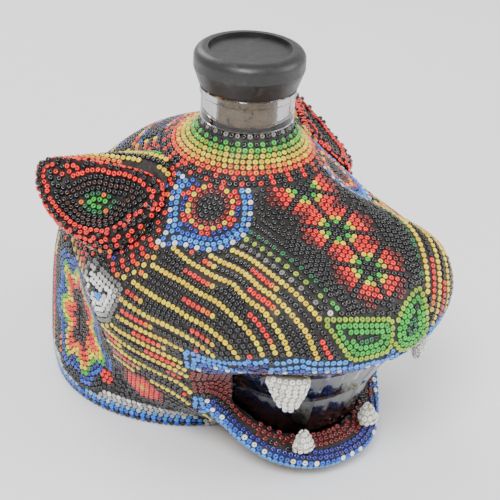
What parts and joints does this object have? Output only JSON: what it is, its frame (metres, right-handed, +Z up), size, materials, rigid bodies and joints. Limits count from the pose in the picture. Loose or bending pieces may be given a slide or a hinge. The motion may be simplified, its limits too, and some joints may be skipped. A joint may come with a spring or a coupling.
{
  "type": "beaded big cat head bottle",
  "caption": "Head-shaped glass bottle covered in wax-set seed beads as a roaring big cat, with built-up ears and fangs and a cork stopper.",
  "frame": {"origin": "where the bottle neck's axis meets the table, on the flat underside of the foot", "axes": "+Z up along the neck's axis; the head faces -Y and its left side is +X"},
  "size_m": [0.1262, 0.1634, 0.1353],
  "materials": {
    "bottle_glass": "smoke-grey bottle glass, polished",
    "beeswax": "dark beeswax and resin mix",
    "cap_satin_black": "satin charcoal, slightly worn",
    "cork": "natural cork",
    "white_beads": "opaque white glass seed beads",
    "blue_beads": "opaque blue glass seed beads",
    "dark_red_beads": "opaque dark red glass seed beads",
    "pearl_beads": "pearl grey and blue glass seed beads",
    "orange_beads": "opaque orange, yellow and green glass seed beads",
    "green_beads": "opaque green glass seed beads",
    "indigo_beads": "opaque indigo and blue glass seed beads",
    "red_beads": "opaque red and yellow glass seed beads",
    "yellow_beads": "opaque yellow and black glass seed beads",
    "black_beads": "opaque black glass seed beads with coloured motifs"
  },
  "bodies": {
    "bottle": {"glass_bottle": "bottle_glass", "glass_neck": "bottle_glass", "wax_bed": "beeswax", "base_band": "pearl_beads", "neck_collar": "orange_beads", "chin_panel": "black_beads", "lower_lip": "blue_beads", "mouth_lining": "dark_red_beads", "upper_gum": "dark_red_beads", "upper_lip": "blue_beads", "nose_pad": "green_beads", "bridge_panel": "red_beads", "brow_panel": "black_beads", "right_eye_patch": "indigo_beads", "left_eye_patch": "indigo_beads", "right_cheek": "yellow_beads", "left_cheek": "yellow_beads", "right_flank": "black_beads", "left_flank": "black_beads", "nape_panel": "black_beads", "right_ear_core": "beeswax", "left_ear_core": "beeswax", "right_ear_lining": "green_beads", "left_ear_lining": "green_beads", "right_ear_cover": "red_beads", "left_ear_cover": "red_beads", "right_upper_fang": "white_beads", "left_upper_fang": "white_beads", "right_lower_fang": "white_beads", "left_lower_fang": "white_beads"},
    "stopper": {"stopper_cap": "cap_satin_black", "stopper_cork": "cork"}
  },
  "joints": [
    {"name": "stopper_lift", "type": "slide", "parent": "bottle", "child": "stopper", "axis": [0, 0, 1], "range_m": [0, 0.04]}
  ]
}
